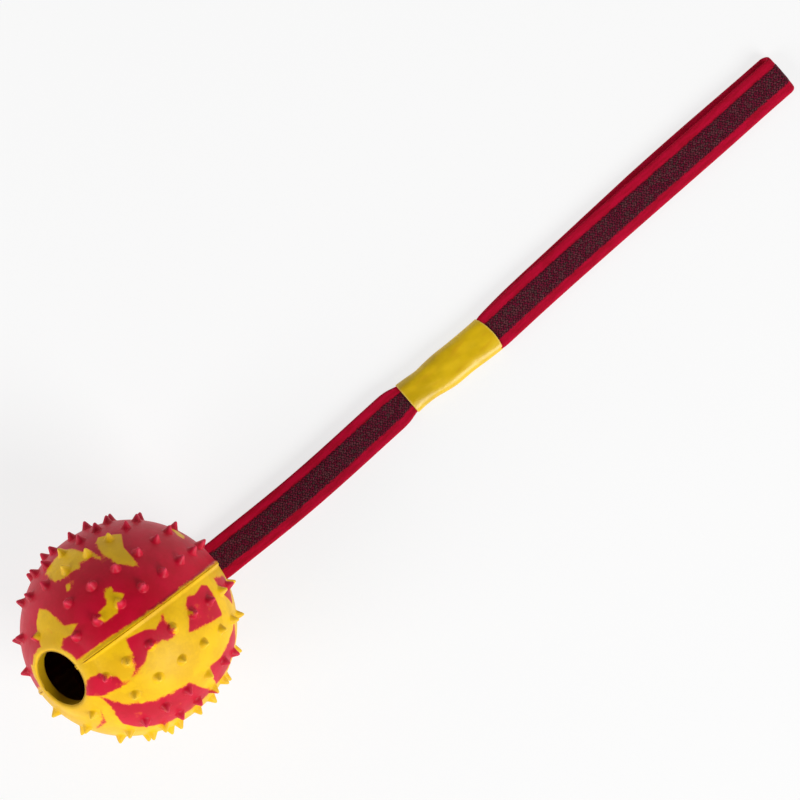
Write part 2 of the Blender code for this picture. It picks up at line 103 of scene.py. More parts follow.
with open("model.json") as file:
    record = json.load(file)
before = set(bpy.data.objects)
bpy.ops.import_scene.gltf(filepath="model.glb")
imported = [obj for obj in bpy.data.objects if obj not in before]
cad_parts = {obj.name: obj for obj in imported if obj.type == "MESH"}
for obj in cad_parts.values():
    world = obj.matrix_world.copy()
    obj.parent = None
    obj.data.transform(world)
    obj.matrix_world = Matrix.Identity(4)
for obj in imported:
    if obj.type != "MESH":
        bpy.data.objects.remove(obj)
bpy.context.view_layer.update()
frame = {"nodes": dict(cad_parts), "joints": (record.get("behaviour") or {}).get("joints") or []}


def joint_line(name):
    """Where a joint's axis passes, and its direction."""
    joint = next(joint for joint in frame["joints"] if joint["name"] == name)
    return Vector(joint["pos_m"]), Vector(joint["axis"]).normalized()


# The ball's own directions: out through the strap hole, level across the strap, and above the strap
BALL_CENTRE, OUT = joint_line("ball_swivel")
LEVEL = Vector((-OUT.y, OUT.x, 0.0)).normalized()
ABOVE = OUT.cross(LEVEL)
BALL_PLACE = Matrix.Translation(BALL_CENTRE) @ Matrix((OUT, -ABOVE, LEVEL)).transposed().to_4x4()

LEAD = joint_line("strap_swing")[0]
KEEPER = joint_line("keeper_bend")[0]
LOOP = joint_line("loop_open")[0]
OVER_MIDDLE = joint_line("loop_over_middle")[0]
UNDER_MIDDLE = joint_line("loop_under_middle")[0]
FOLD_OVER = joint_line("loop_fold_over")[0]
FOLD_UNDER = joint_line("loop_fold_under")[0]
FOLD_CENTRE = FOLD_OVER.x + FOLD_ARM
FOLD_START = FOLD_CENTRE - FOLD_EASE
STRAP_MIDDLE = KEEPER.z
SLEEVE_START = KEEPER.x + SLEEVE_LEAD_IN
SLEEVE_END = SLEEVE_START + SLEEVE_LENGTH


# Node graphs


class Graph:
    """Short ways to build one material's nodes. Most calls return an output socket."""

    def __init__(self, name):
        self.material = bpy.data.materials.new(name)
        self.material.use_nodes = True
        self.tree = self.material.node_tree
        self.shader = self.tree.nodes["Principled BSDF"]

    def node(self, kind, **settings):
        made = self.tree.nodes.new(kind)
        for key, value in settings.items():
            setattr(made, key, value)
        return made

    def put(self, value, socket):
        """Links a socket, or sets a plain number, vector or colour."""
        if isinstance(value, bpy.types.NodeSocket):
            self.tree.links.new(value, socket)
        else:
            socket.default_value = value

    def filled(self, kind, values, **settings):
        """A node whose first inputs have these values."""
        made = self.node(kind, **settings)
        for value, socket in zip(values, made.inputs):
            self.put(value, socket)
        return made

    def math(self, operation, *values):
        return self.filled("ShaderNodeMath", values, operation=operation).outputs[0]

    def add(self, first, *others):
        """The sum of two or more values."""
        for other in others:
            first = self.math("ADD", first, other)
        return first

    def minus(self, first, second):
        return self.math("SUBTRACT", first, second)

    def times(self, first, second):
        return self.math("MULTIPLY", first, second)

    def line(self, value, slope, start):
        return self.math("MULTIPLY_ADD", value, slope, start)

    def scaled(self, vector, factor):
        made = self.filled("ShaderNodeVectorMath", [vector], operation="SCALE")
        self.put(factor, made.inputs["Scale"])
        return made.outputs["Vector"]

    def vector(self, operation, *values):
        made = self.filled("ShaderNodeVectorMath", values, operation=operation)
        return made.outputs["Value" if operation == "LENGTH" else "Vector"]

    def combine(self, *values):
        return self.filled("ShaderNodeCombineXYZ", values).outputs[0]

    def split(self, vector):
        return list(self.filled("ShaderNodeSeparateXYZ", [vector]).outputs)

    def step(self, value, low, high, start=0.0, end=1.0):
        """Smooth change from start to end while the value goes from low to high."""
        made = self.node("ShaderNodeMapRange", interpolation_type="SMOOTHSTEP")
        for key, number in (("From Min", low), ("From Max", high), ("To Min", start), ("To Max", end)):
            made.inputs[key].default_value = number
        self.put(value, made.inputs["Value"])
        return made.outputs["Result"]

    def hump(self, value, power=2.0):
        """1 in the middle of each whole step of the value, 0 where the steps meet."""
        centred = self.math("ABSOLUTE", self.line(self.math("FRACT", value), 2.0, -1.0))
        return self.minus(1.0, self.math("POWER", centred, power))

    def mix(self, factor, first, second):
        made = self.node("ShaderNodeMix", data_type="RGBA")
        self.put(factor, made.inputs["Factor"])
        for value, socket in ((first, made.inputs[6]), (second, made.inputs[7])):
            self.put((*value, 1.0) if isinstance(value, tuple) else value, socket)
        return made.outputs[2]

    def noise(self, place, scale, detail=2.0, roughness=0.5, output="Fac"):
        made = self.node("ShaderNodeTexNoise")
        self.put(place, made.inputs["Vector"])
        made.inputs["Scale"].default_value = scale
        made.inputs["Detail"].default_value = detail
        made.inputs["Roughness"].default_value = roughness
        return made.outputs[output]

    def ramp(self, value, stops):
        made = self.node("ShaderNodeValToRGB")
        while len(made.color_ramp.elements) < len(stops):
            made.color_ramp.elements.new(0.5)
        for element, (place, colour) in zip(made.color_ramp.elements, stops):
            element.position = place
            element.color = (*colour, 1.0)
        self.put(value, made.inputs["Fac"])
        return made.outputs["Color"]

    def object_mm(self):
        """The object's own coordinates in millimetres."""
        return self.scaled(self.node("ShaderNodeTexCoord").outputs["Object"], 1 / MM)

    def finish(self, colour, roughness, height, depth, strength=1.0, **constants):
        """Puts colour, roughness and bump on the shader, and plain numbers on its other sockets."""
        self.put(colour, self.shader.inputs["Base Color"])
        self.put(roughness, self.shader.inputs["Roughness"])
        bump = self.node("ShaderNodeBump")
        bump.inputs["Distance"].default_value = depth
        bump.inputs["Strength"].default_value = strength
        self.put(height, bump.inputs["Height"])
        self.put(bump.outputs["Normal"], self.shader.inputs["Normal"])
        for key, value in constants.items():
            self.shader.inputs[key.replace("_", " ")].default_value = value
        return self.material


# Meshes


def link(name, data):
    """A new object in the scene with this mesh, lamp or camera."""
    obj = bpy.data.objects.new(name, data)
    bpy.context.scene.collection.objects.link(obj)
    return obj


def piece(name, mesh, material, sharp):
    """A shown piece, shaded smooth except at edges over this many degrees."""
    mesh.materials.clear()
    mesh.materials.append(material)
    mesh.shade_smooth()
    mesh.set_sharp_from_angle(angle=math.radians(sharp))
    return link(name, mesh)


def new_mesh(name, bm):
    """The mesh of a bmesh, with its faces turned outwards."""
    bmesh.ops.recalc_face_normals(bm, faces=bm.faces)
    mesh = bpy.data.meshes.new(name)
    bm.to_mesh(mesh)
    bm.free()
    return mesh


def ring_faces(bm, rings, closed=False):
    """Faces between rings of vertices; a ring of one vertex is a pole."""
    for ring, after in list(zip(rings, rings[1:])) + ([(rings[-1], rings[0])] if closed else []):
        count = max(len(ring), len(after))
        for k in range(count):
            j = (k + 1) % count
            corners = (ring[k % len(ring)], ring[j % len(ring)], after[j % len(after)], after[k % len(after)])
            bm.faces.new(list(dict.fromkeys(corners)))


def turned(name, profile, steps):
    """A profile of (radius, height) turned round Z. Its ends lie on the axis, or else it closes on itself."""
    bm = bmesh.new()
    rings = []
    for radius, height in profile:
        count = steps if radius > 0.001 * MM else 1
        angles = [2 * math.pi * k / steps for k in range(count)]
        rings.append([bm.verts.new((radius * math.cos(a), radius * math.sin(a), height)) for a in angles])
    ring_faces(bm, rings, closed=len(rings[0]) > 1)
    return new_mesh(name, bm)


def carved(mesh, steps):
    """The mesh after these boolean steps, each an operation and the mesh it uses."""
    obj = link("work", mesh)
    helpers = []
    for operation, other in steps:
        helpers.append(link("helper", other))
        modifier = obj.modifiers.new("carve", "BOOLEAN")
        modifier.operation = operation
        modifier.solver = "MANIFOLD"
        modifier.object = helpers[-1]
    bpy.context.view_layer.update()
    result = bpy.data.meshes.new_from_object(obj.evaluated_get(bpy.context.evaluated_depsgraph_get()))
    for used in [obj] + helpers:
        bpy.data.objects.remove(used)
    return result


def smooth_value(points, x):
    """The height at x of a smooth curve through (x, value) points, flat beyond its ends."""
    if x <= points[0][0]:
        return points[0][1]
    if x >= points[-1][0]:
        return points[-1][1]
    k = max(i for i in range(len(points) - 1) if points[i][0] <= x)

    def slope(i):
        before = points[max(i - 1, 0)]
        after = points[min(i + 1, len(points) - 1)]
        return (after[1] - before[1]) / (after[0] - before[0])

    (x0, y0), (x1, y1) = points[k], points[k + 1]
    width = x1 - x0
    t = (x - x0) / width
    ease = t * t * (3 - 2 * t)
    return y0 + (y1 - y0) * ease + width * t * (1 - t) * (slope(k) * (1 - t) - slope(k + 1) * t)


def direction(colatitude, turn):
    """The direction at these degrees from the ball's Z and round it from its X."""
    down = math.radians(colatitude)
    around = math.radians(turn)
    return Vector((math.sin(down) * math.cos(around), math.sin(down) * math.sin(around), math.cos(down)))


# Marbling of the ball

# Shards of the other colour, after the photo. A corner is (degrees from the left pole, degrees round it)
YELLOW_SHARDS = (
    ((34, 257), (43, 270), (52, 259), (67, 255), (58, 247), (48, 245), (37, 250)),
    ((25, 228), (38, 237), (43, 242), (49, 243), (50, 241), (45, 239), (43, 229), (46, 226), (44, 220),
     (46, 217), (43, 205), (33, 194), (30, 195), (23, 215)),
    ((50, 213), (50, 218), (54, 215), (54, 212)),
    ((66, 232), (67, 235), (70, 235), (74, 239), (77, 234), (76, 233), (80, 230), (80, 222), (77, 221),
     (76, 223), (74, 222), (73, 228)),
    ((52, 187), (54, 192), (59, 197), (69, 202), (72, 210), (75, 203), (74, 198), (79, 194), (75, 188),
     (75, 182), (66, 181), (58, 182)),
    ((75, 163), (79, 177), (93, 171), (100, 170), (96, 165), (87, 164), (81, 160)),
    ((58, 308), (62, 309), (68, 305), (69, 299), (65, 299)),
)
RED_SHARDS = (
    ((94, 265), (96, 270), (94, 278), (96, 282), (114, 284), (113, 272), (110, 255), (102, 261), (98, 261)),
    ((96, 245), (94, 248), (107, 247), (103, 234), (108, 227), (111, 216), (106, 222), (93, 226), (95, 236),
     (98, 241)),
    ((98, 196), (99, 204), (106, 210), (109, 210), (112, 213), (110, 196), (104, 189)),
    ((109, 194), (121, 201), (131, 216), (135, 242), (148, 255), (155, 272), (158, 243), (153, 198),
     (140, 185), (131, 184), (116, 194)),
    ((135, 262), (135, 275), (123, 299), (132, 305), (147, 299), (153, 277), (144, 265)),
    ((95, 291), (98, 309), (105, 309), (113, 303), (105, 293)),
    ((116, 186), (124, 178), (124, 163), (121, 180)),
)
HIDDEN_SHARDS = 6
HIDDEN_SHARD_REACH = math.radians(15)
HIDDEN_SHARD_SPACING = math.radians(27)
# The depth in mm given to a point beyond a shard's reach, and that reach as a cosine
FAR_OUTSIDE = -20.0
NEAR_COSINE = 0.35
# A direction that no shard's middle has
SLANT = (0.3, 0.5, 0.81)


def hidden_shards(seed, side):
    """Jagged outlines on the part of one half that faces the ground. The side is 1 for the left half."""
    chance = random.Random(seed)
    down = BALL_PLACE.to_3x3().transposed() @ Vector((0, 0, -1))
    middles = []
    while len(middles) < HIDDEN_SHARDS:
        middle = Vector([chance.gauss(0, 1) for axis in range(3)]).normalized()
        # clear of the seam, towards the ground, and clear of the ball's two holes
        on_this_half = middle.z * side > 0.16 and middle.dot(down) > 0.12 and abs(middle.x) < 0.93
        if on_this_half and all(middle.angle(other) > HIDDEN_SHARD_SPACING for other in middles):
            middles.append(middle)
    outlines = []
    for middle in middles:
        across = middle.orthogonal().normalized()
        beside = middle.cross(across)
        lean = chance.uniform(0, math.pi)
        corners = chance.randint(7, 11)
        outline = []
        for k in range(corners):
            around = 2 * math.pi * (k + chance.uniform(-0.3, 0.3)) / corners
            stretch = 1 + 0.35 * math.cos(2 * (around - lean))
            reach = HIDDEN_SHARD_REACH * chance.uniform(0.42, 1.0) * stretch
            flat = across * math.cos(around) + beside * math.sin(around)
            outline.append(middle * math.cos(reach) + flat * math.sin(reach))
        outlines.append(outline)
    return outlines


def depth_inside(points, outline):
    """How far in mm each point of the ball lies inside an outline of directions; negative outside it."""
    corners = np.array([tuple(corner) for corner in outline])
    middle = corners.mean(0)
    middle /= np.linalg.norm(middle)
    across = np.cross(middle, SLANT)
    across /= np.linalg.norm(across)
    beside = np.cross(middle, across)
    facing = points @ middle / np.linalg.norm(points, axis=1)
    near = np.nonzero(facing > NEAR_COSINE)[0]
    # seen from the ball's centre, arcs between corners are straight lines on the plane over the middle
    ahead = points[near] @ middle
    plane = np.stack([points[near] @ across / ahead, points[near] @ beside / ahead], 1)
    flat = np.stack([corners @ across, corners @ beside], 1) / (corners @ middle)[:, None]
    inside = np.zeros(len(near), bool)
    least = np.full(len(near), np.inf)
    for start, end in zip(flat, np.roll(flat, -1, 0)):
        along = end - start
        share = np.clip((plane - start) @ along / (along @ along), 0, 1)
        least = np.minimum(least, np.linalg.norm(plane - start - share[:, None] * along, axis=1))
        if along[1]:
            spans = (start[1] > plane[:, 1]) != (end[1] > plane[:, 1])
            inside ^= spans & (plane[:, 0] < start[0] + (plane[:, 1] - start[1]) * along[0] / along[1])
    depth = np.full(len(points), FAR_OUTSIDE)
    depth[near] = np.where(inside, least, -least) * facing[near] ** 1.5 * BALL_RADIUS / MM
    return depth


def mark_marbling(mesh, outlines):
    """Stores each point's place on the ball in mm, and how deep it lies in a shard, for the material."""
    points = np.zeros(len(mesh.vertices) * 3, np.float32)
    mesh.vertices.foreach_get("co", points)
    places = mesh.attributes.new("ball_mm", "FLOAT_VECTOR", "POINT")
    places.data.foreach_set("vector", points / np.float32(MM))
    points = points.reshape(-1, 3)
    depth = np.max([depth_inside(points, outline) for outline in outlines], axis=0)
    depths = mesh.attributes.new("shard_mm", "FLOAT", "POINT")
    depths.data.foreach_set("value", depth.astype(np.float32))


# Each colour is a dark tone, a bright tone and a paler tone, painted on the spike tips as a highlight
RED_TONES = ((0.52, 0.0, 0.018), (0.605, 0.0, 0.027), (0.80, 0.05, 0.11))
YELLOW_TONES = ((0.80, 0.45, 0.001), (0.91, 0.54, 0.001), (0.95, 0.62, 0.05))
BLEND_LINE = (0.84, 0.17, 0.008)
GROOVE_SHADE = (0.30, 0.10, 0.004)
WALL_SHADE = (0.20, 0.11, 0.001)
HOLLOW_SHADE = (0.02, 0.004, 0.004)
RIM_BAND_DEGREES = 19.2


def rubber_material(name, ground, shard, seam_is_shard):
    """Satin rubber marbled in two colours, each given as a dark tone, a bright tone and a paler tone for a
    painted highlight on the spike tips.
    """
    g = Graph(name)
    radius = BALL_RADIUS / MM
    mouth = MOUTH_RADIUS / MM
    hollow = radius - BALL_WALL / MM
    mm = g.node("ShaderNodeAttribute", attribute_name="ball_mm").outputs["Vector"]
    depth = g.node("ShaderNodeAttribute", attribute_name="shard_mm").outputs["Fac"]
    from_centre = g.vector("LENGTH", mm)
    x, y, z = g.split(mm)
    from_seam = g.math("ABSOLUTE", z)
    to_mouth = g.math("DIVIDE", g.times(x, -1.0), from_centre)
    if seam_is_shard:
        in_bead = g.minus(g.step(to_mouth, 0.3, 0.95, 0.6, 1.9), from_seam)
        rim_edge = math.cos(math.radians(RIM_BAND_DEGREES))
        mm_per_cosine = radius / math.sin(math.acos(rim_edge))
        in_rim = g.times(g.minus(to_mouth, rim_edge), mm_per_cosine)
        depth = g.math("MAXIMUM", depth, g.math("MAXIMUM", in_bead, in_rim))
    # some stretches of a shard's edge are torn and some are clean
    raggedness = g.step(g.noise(mm, 0.085, 1.0), 0.4, 0.62, 0.15, 1.0)
    torn = g.times(g.minus(g.noise(mm, 0.55, 3.0, 0.62), 0.5), 3.2)
    nibbled = g.times(g.minus(g.noise(mm, 2.1, 2.0), 0.5), 0.9)
    depth = g.add(depth, g.times(g.add(torn, nibbled), raggedness))
    in_shard = g.step(depth, -0.12, 0.12)
    mottled = g.noise(mm, 0.11, 3.0, 0.55)
    fine = g.noise(mm, 0.9, 3.0, 0.6)
    tone = g.step(g.add(g.times(mottled, 0.75), g.times(fine, 0.25)), 0.38, 0.62)
    # painted highlight: the colour turns paler towards each spike's tip
    raised = g.step(from_centre, radius + 0.4, radius + 2.7, 0.0, 0.6)

    def shaded(colours):
        dark, bright, tip = colours
        return g.mix(raised, g.mix(tone, dark, bright), tip)

    colour = g.mix(in_shard, shaded(ground), shaded(shard))
    # where the colours meet they run into each other, more so where the edge is torn
    line_width = g.line(raggedness, 0.4, 0.3)
    line = g.math("DIVIDE", g.math("ABSOLUTE", depth), line_width)
    colour = g.mix(g.step(line, 0.1, 1.0, 0.55, 0.0), colour, BLEND_LINE)
    smeared = g.step(g.noise(mm, 0.21, 4.0, 0.6), 0.6, 0.72, 0.0, 0.32)
    colour = g.mix(g.times(smeared, g.step(depth, -3.2, -0.4)), colour, BLEND_LINE)
    # painted shade: the bead's groove is darkened near the mouth, but not on the lip
    groove_shade = g.times(g.step(from_seam, 0.06, 0.26, 1.0, 0.0), g.step(to_mouth, 0.55, 0.85, 0.1, 0.5))
    colour = g.mix(g.times(groove_shade, g.step(to_mouth, 0.925, 0.95, 1.0, 0.0)), colour, GROOVE_SHADE)
    # painted shade: the mouth's wall is darkened, and the hollow inside is painted dark
    from_axis = g.vector("LENGTH", g.combine(0.0, y, z))
    wall = g.times(g.step(from_axis, mouth + 0.05, mouth + 0.8, 0.6, 0.0), g.step(x, -1.0, 1.0, 1.0, 0.0))
    colour = g.mix(wall, colour, WALL_SHADE)
    colour = g.mix(g.step(from_centre, hollow - 0.2, hollow + 0.4, 0.85, 0.0), colour, HOLLOW_SHADE)
    roughness = g.line(g.noise(mm, 0.5, 3.0), 0.14, 0.4)
    skin = g.add(g.noise(mm, 3.2, 3.0, 0.6), g.times(g.noise(mm, 0.45, 2.0), 1.6))
    return g.finish(colour, roughness, skin, 0.05 * MM, 0.5, Specular_IOR_Level=0.25)


# The ball


def spike_directions():
    """Where the spikes of the left half point, ring by ring, as in the CAD."""
    found = [direction(SPIKE_NEAR_BORE, 0), direction(SPIKE_NEAR_BORE, 180)]
    for (colatitude, count), bare in zip(SPIKE_RINGS, BARE_ANGLES):
        ring = [direction(colatitude, 90 + 360 * step / count) for step in range(count)]
        found += [towards for towards in ring if math.degrees(math.acos(abs(towards.x))) > bare]
    return found


# A spike's outline as (radius, height over the ball) in mm, from its flared foot to its blunt tip
SPIKE_OUTLINE = (
    (2.4, -0.35), (2.05, -0.03), (1.8, 0.16), (1.56, 0.5), (1.26, 1.08),
    (0.95, 1.7), (0.68, 2.22), (0.47, 2.58), (0.25, 2.78), (0.0, 2.85),
)


def spike_field():
    """All spikes of the left half, no two quite alike."""
    chance = random.Random(11)
    root = BALL_RADIUS - SPIKE_ROOT
    foot = Matrix.Translation((0, 0, BALL_RADIUS))
    bm = bmesh.new()
    for towards in spike_directions():
        wide = chance.uniform(0.95, 1.05) * MM
        tall = chance.uniform(0.9, 1.0) * MM
        outline = [(r * wide, BALL_RADIUS + h * tall) for r, h in SPIKE_OUTLINE]
        mesh = turned("spike", [(0.0, root), (outline[0][0], root)] + outline, SPIKE_SIDES)
        lean = Matrix.Rotation(math.radians(chance.uniform(-2.5, 2.5)), 4, "X")
        aim = towards.to_track_quat("Z", "Y").to_matrix().to_4x4()
        mesh.transform(aim @ foot @ lean @ foot.inverted())
        bm.from_mesh(mesh)
    return new_mesh("spikes", bm)


def half_shell_profile():
    """The left half's section, from its pole over the rounded seam bead and back along the hollow."""
    bead_start = math.asin(BEAD_HALF_WIDTH / BALL_RADIUS)
    outer = [math.pi / 2 + (bead_start - math.pi / 2) * k / SHELL_ARCS for k in range(1, SHELL_ARCS + 1)]
    profile = [(0.0, BALL_RADIUS)] + [(BALL_RADIUS * math.cos(a), BALL_RADIUS * math.sin(a)) for a in outer]
    for k in range(1, 9):
        share = k / 8
        height = BEAD_HALF_WIDTH + (GROOVE_HALF_WIDTH - BEAD_HALF_WIDTH) * share
        profile.append((BALL_RADIUS + BEAD_HEIGHT * math.sin(share * math.pi / 2), height))
    profile.append((BALL_RADIUS + BEAD_HEIGHT - BEAD_GROOVE, SEAM_GAP / 2))
    inner = BALL_RADIUS - BALL_WALL
    for k in range(16):
        turn = math.pi / 32 * k
        profile.append((inner * math.cos(turn), SEAM_GAP / 2 + inner * math.sin(turn)))
    return profile + [(0.0, inner)]


def mouth_rim():
    """The lip round the mouth: the wall swells gently and rounds off into the hole."""
    def on_ball(radius):
        return math.sqrt(BALL_RADIUS**2 - radius**2)

    crest = MOUTH_RADIUS + RIM_CREST
    foot = crest + RIM_SPREAD
    root, lip_root = RIM_ROOTS
    profile = [(MOUTH_RADIUS - RIM_OVERLAP, root), (foot, root)]
    for k in range(11):
        share = k / 10
        radius = foot + (crest - foot) * share
        swell = RIM_HEIGHT * share**2 * (3 - 2 * share)
        profile.append((radius, on_ball(radius) + swell - RIM_SINK * (1 - share)))
    top = on_ball(crest) + RIM_HEIGHT
    inwards, downwards = RIM_ROUNDING
    for degrees in (20, 40, 60, 80):
        turn = math.radians(degrees)
        profile.append((crest - inwards * math.sin(turn), top - downwards * (1 - math.cos(turn))))
    profile.append((MOUTH_RADIUS - RIM_OVERLAP, lip_root))
    mesh = turned("rim", profile, ROUND_STEPS)
    mesh.transform(Matrix.Rotation(math.radians(-90), 4, "Y"))
    return mesh


def bore(radius, start, end):
    """A round cutter along the ball's X."""
    mesh = turned("bore", [(0.0, start), (radius, start), (radius, end), (0.0, end)], ROUND_STEPS)
    mesh.transform(Matrix.Rotation(math.radians(90), 4, "Y"))
    return mesh


def seam_block():
    """The half space past the left half's seam face."""
    place = Matrix.Translation((0, 0, (SEAM_GAP - CUTTER_REACH) / 2))
    size = Matrix.Diagonal((2 * CUTTER_REACH, 2 * CUTTER_REACH, CUTTER_REACH, 1.0))
    bm = bmesh.new()
    bmesh.ops.create_cube(bm, size=1.0, matrix=place @ size)
    return new_mesh("seam", bm)


def make_ball():
    """Two half shells with their spikes, lip and holes, each marbled in its own way."""
    left = carved(turned("half_shell", half_shell_profile(), SHELL_STEPS), [
        ("UNION", spike_field()),
        ("UNION", mouth_rim()),
        ("DIFFERENCE", bore(MOUTH_RADIUS, -CUTTER_REACH, 0.0)),
        ("DIFFERENCE", bore(EXIT_RADIUS, 0.0, CUTTER_REACH)),
        ("DIFFERENCE", seam_block()),
    ])
    right = left.copy()
    right.transform(Matrix.Scale(-1, 4, (0, 0, 1)))
    right.flip_normals()
    red = rubber_material("red_rubber_marbled", RED_TONES, YELLOW_TONES, True)
    yellow = rubber_material("yellow_rubber_marbled", YELLOW_TONES, RED_TONES, False)
    halves = (
        ("ball_shell_left", left, red, YELLOW_SHARDS, hidden_shards(5, 1), "red_rubber"),
        ("ball_shell_right", right, yellow, RED_SHARDS, hidden_shards(8, -1), "yellow_rubber"),
    )
    for node, mesh, material, seen, hidden, slot in halves:
        mark_marbling(mesh, [[direction(*corner) for corner in outline] for outline in seen] + hidden)
        mesh.transform(BALL_PLACE)
        shown = piece("marbled_" + node, mesh, material, sharp=42)
        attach(shown, "ball")
        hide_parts(node)


# Webbing

RED_GROUND = ((0.43, 0.0, 0.018), (0.58, 0.0, 0.034))
RED_SHADOW = (0.13, 0.0, 0.006)
RED_FUZZ = (0.66, 0.05, 0.11)
BAND_PIT_SHADE = (0.016, 0.0002, 0.003)
BAND_THREADS = (
    (0.0, (0.110, 0.000, 0.014)),
    (0.3, (0.170, 0.003, 0.028)),
    (0.55, (0.120, 0.010, 0.024)),
    (0.8, (0.150, 0.028, 0.042)),
    (1.0, (0.080, 0.026, 0.028)),
)
THREAD_LENGTH = 1.2
THREAD_WIDTH = 0.8
TWILL_PITCH = 0.42


def webbing_material():
    """Red woven webbing with a band of dark rubber threads, laid out by the strap's own coordinates in mm."""
    g = Graph("grip_webbing")
    edge = WEB_WIDTH / 2 / MM
    run = g.node("ShaderNodeUVMap", uv_map="strap_run").outputs["UV"]
    flat = g.scaled(run, 1 / MM)
    along, across = g.split(flat)[:2]
    from_middle = g.math("ABSOLUTE", across)
    # the threads waver, and their slant turns back from row to row, as in a braid
    waver = g.scaled(g.vector("SUBTRACT", g.noise(flat, 1.0, 2.0, output="Color"), (0.5, 0.5, 0.5)), 0.42)
    u, v = g.split(g.vector("ADD", flat, waver))[:2]
    slant = g.math("PINGPONG", v, 0.74)
    column = g.add(g.math("DIVIDE", u, THREAD_LENGTH), g.times(slant, 0.95))
    stagger = g.times(g.math("MODULO", g.math("FLOOR", column), 2.0), 0.5)
    row = g.add(g.math("DIVIDE", v, THREAD_WIDTH), stagger)
    relief = g.times(g.hump(column), g.line(g.hump(row, 2.5), 0.75, 0.25))
    lot = g.node("ShaderNodeTexWhiteNoise", noise_dimensions="2D")
    g.put(g.combine(g.math("FLOOR", column), g.math("FLOOR", row)), lot.inputs["Vector"])
    thread = g.ramp(lot.outputs["Value"], BAND_THREADS)
    # painted shade: the pits between the raised threads are dark, the crests keep the threads' own colours
    band_colour = g.mix(g.step(relief, 0.16, 0.72), BAND_PIT_SHADE, thread)
    # the red ground is a fine herringbone twill
    twill = g.hump(g.math("DIVIDE", g.add(along, g.times(from_middle, 0.9)), TWILL_PITCH))
    streaks = g.noise(g.combine(g.times(along, 0.12), g.times(across, 0.7)), 1.0, 3.0, 0.6)
    red = g.mix(g.step(streaks, 0.32, 0.68), *RED_GROUND)
    red = g.mix(g.line(twill, -0.2, 0.2), red, RED_SHADOW)
    selvage = g.step(from_middle, edge - 0.9, edge - 0.1, 0.0, 0.35)
    red = g.mix(selvage, red, RED_GROUND[0])
    red = g.mix(g.step(g.noise(flat, 2.4, 2.0), 0.66, 0.8, 0.0, 0.25), red, RED_FUZZ)
    # where the band ends, its threads reach a little over the red or fall short of it
    unevenness = g.times(g.minus(g.noise(flat, 1.3, 2.0, 0.6), 0.5), 1.1)
    jitter = g.times(g.minus(lot.outputs["Value"], 0.5), 0.35)
    in_band = g.minus(BAND_WIDTH / 2 / MM, g.add(from_middle, unevenness, jitter))
    band = g.step(in_band, -0.08, 0.08)
    colour = g.mix(band, red, band_colour)
    # painted shade along the foot of the raised band's edge
    colour = g.mix(g.step(g.math("ABSOLUTE", g.add(in_band, 0.12)), 0.0, 0.4, 0.4, 0.0), colour, BAND_PIT_SHADE)
    raised = g.times(band, g.add(relief, 0.35))
    height = g.add(raised, g.times(g.minus(1.0, band), g.times(twill, 0.3)))
    roughness = g.line(band, -0.1, 0.75)
    return g.finish(colour, roughness, height, 0.16 * MM, 0.9, Specular_IOR_Level=0.12)


# The strap's section over its upper face, as (across, height) in mm: thin red edges and the raised band
HALF_FACE = (
    (-7.5, 0.0), (-7.42, 0.34), (-7.18, 0.6), (-6.8, 0.74), (-6.2, 0.81), (-5.2, 0.85),
    (-4.35, 0.85), (-4.0, 0.87), (-3.72, 0.95), (-3.3, 1.0), (-2.2, 1.0), (-1.1, 1.0),
)
UPPER_FACE = HALF_FACE + ((0.0, 1.0),) + tuple((-y, z) for y, z in reversed(HALF_FACE))
SECTION = UPPER_FACE + tuple((y, -z) for y, z in reversed(UPPER_FACE[1:-1]))

# The bend at the ball turns from the strap hole's direction to the level
HEADING = Vector((OUT.x, OUT.y, 0.0)).normalized()
BEND_ANGLE = OUT.angle(HEADING)
BEND_TANGENT = BEND_RADIUS * math.tan(BEND_ANGLE / 2)
BEND_END = LEAD + HEADING * BEND_TANGENT
LEVEL_START = BEND_END.x + 1.0 * MM

# The sleeve from above, as (share of its length, sideways place in mm, width in mm)
SLEEVE_OUTLINE = (
    (0.0, -2.95, 13.3), (0.1, -3.02, 12.85), (0.23, -3.42, 12.65), (0.33, -3.68, 13.6),
    (0.45, -3.94, 14.45), (0.65, -4.14, 14.3), (0.85, -4.47, 14.75), (1.0, -4.6, 15.1),
)
SLEEVE_SIDES = []
SLEEVE_WIDTHS = []
for share, side, width in SLEEVE_OUTLINE:
    SLEEVE_SIDES.append((SLEEVE_START + share * SLEEVE_LENGTH, side * MM))
    SLEEVE_WIDTHS.append((SLEEVE_START + share * SLEEVE_LENGTH, width * MM))

# Places (x, y) of both layers up to the sleeve's end, and of each layer along the hand loop
SHARED_SIDES = [BEND_END.xy, (-60.0 * MM, -3.9 * MM), KEEPER.xy] + SLEEVE_SIDES
OVER_SIDES = SHARED_SIDES + [
    (33.5 * MM, -4.56 * MM), (50.3 * MM, -4.0 * MM), (67.0 * MM, -3.64 * MM), OVER_MIDDLE.xy,
    (139.2 * MM, -2.96 * MM), FOLD_OVER.xy, (FOLD_CENTRE, -2.5 * MM),
]
UNDER_SIDES = SHARED_SIDES + [
    (34.5 * MM, -4.2 * MM), (45.0 * MM, -3.4 * MM), (72.0 * MM, -2.4 * MM), UNDER_MIDDLE.xy,
    (111.4 * MM, -1.0 * MM), (134.0 * MM, -0.72 * MM), FOLD_UNDER.xy, (FOLD_CENTRE, -0.6 * MM),
]

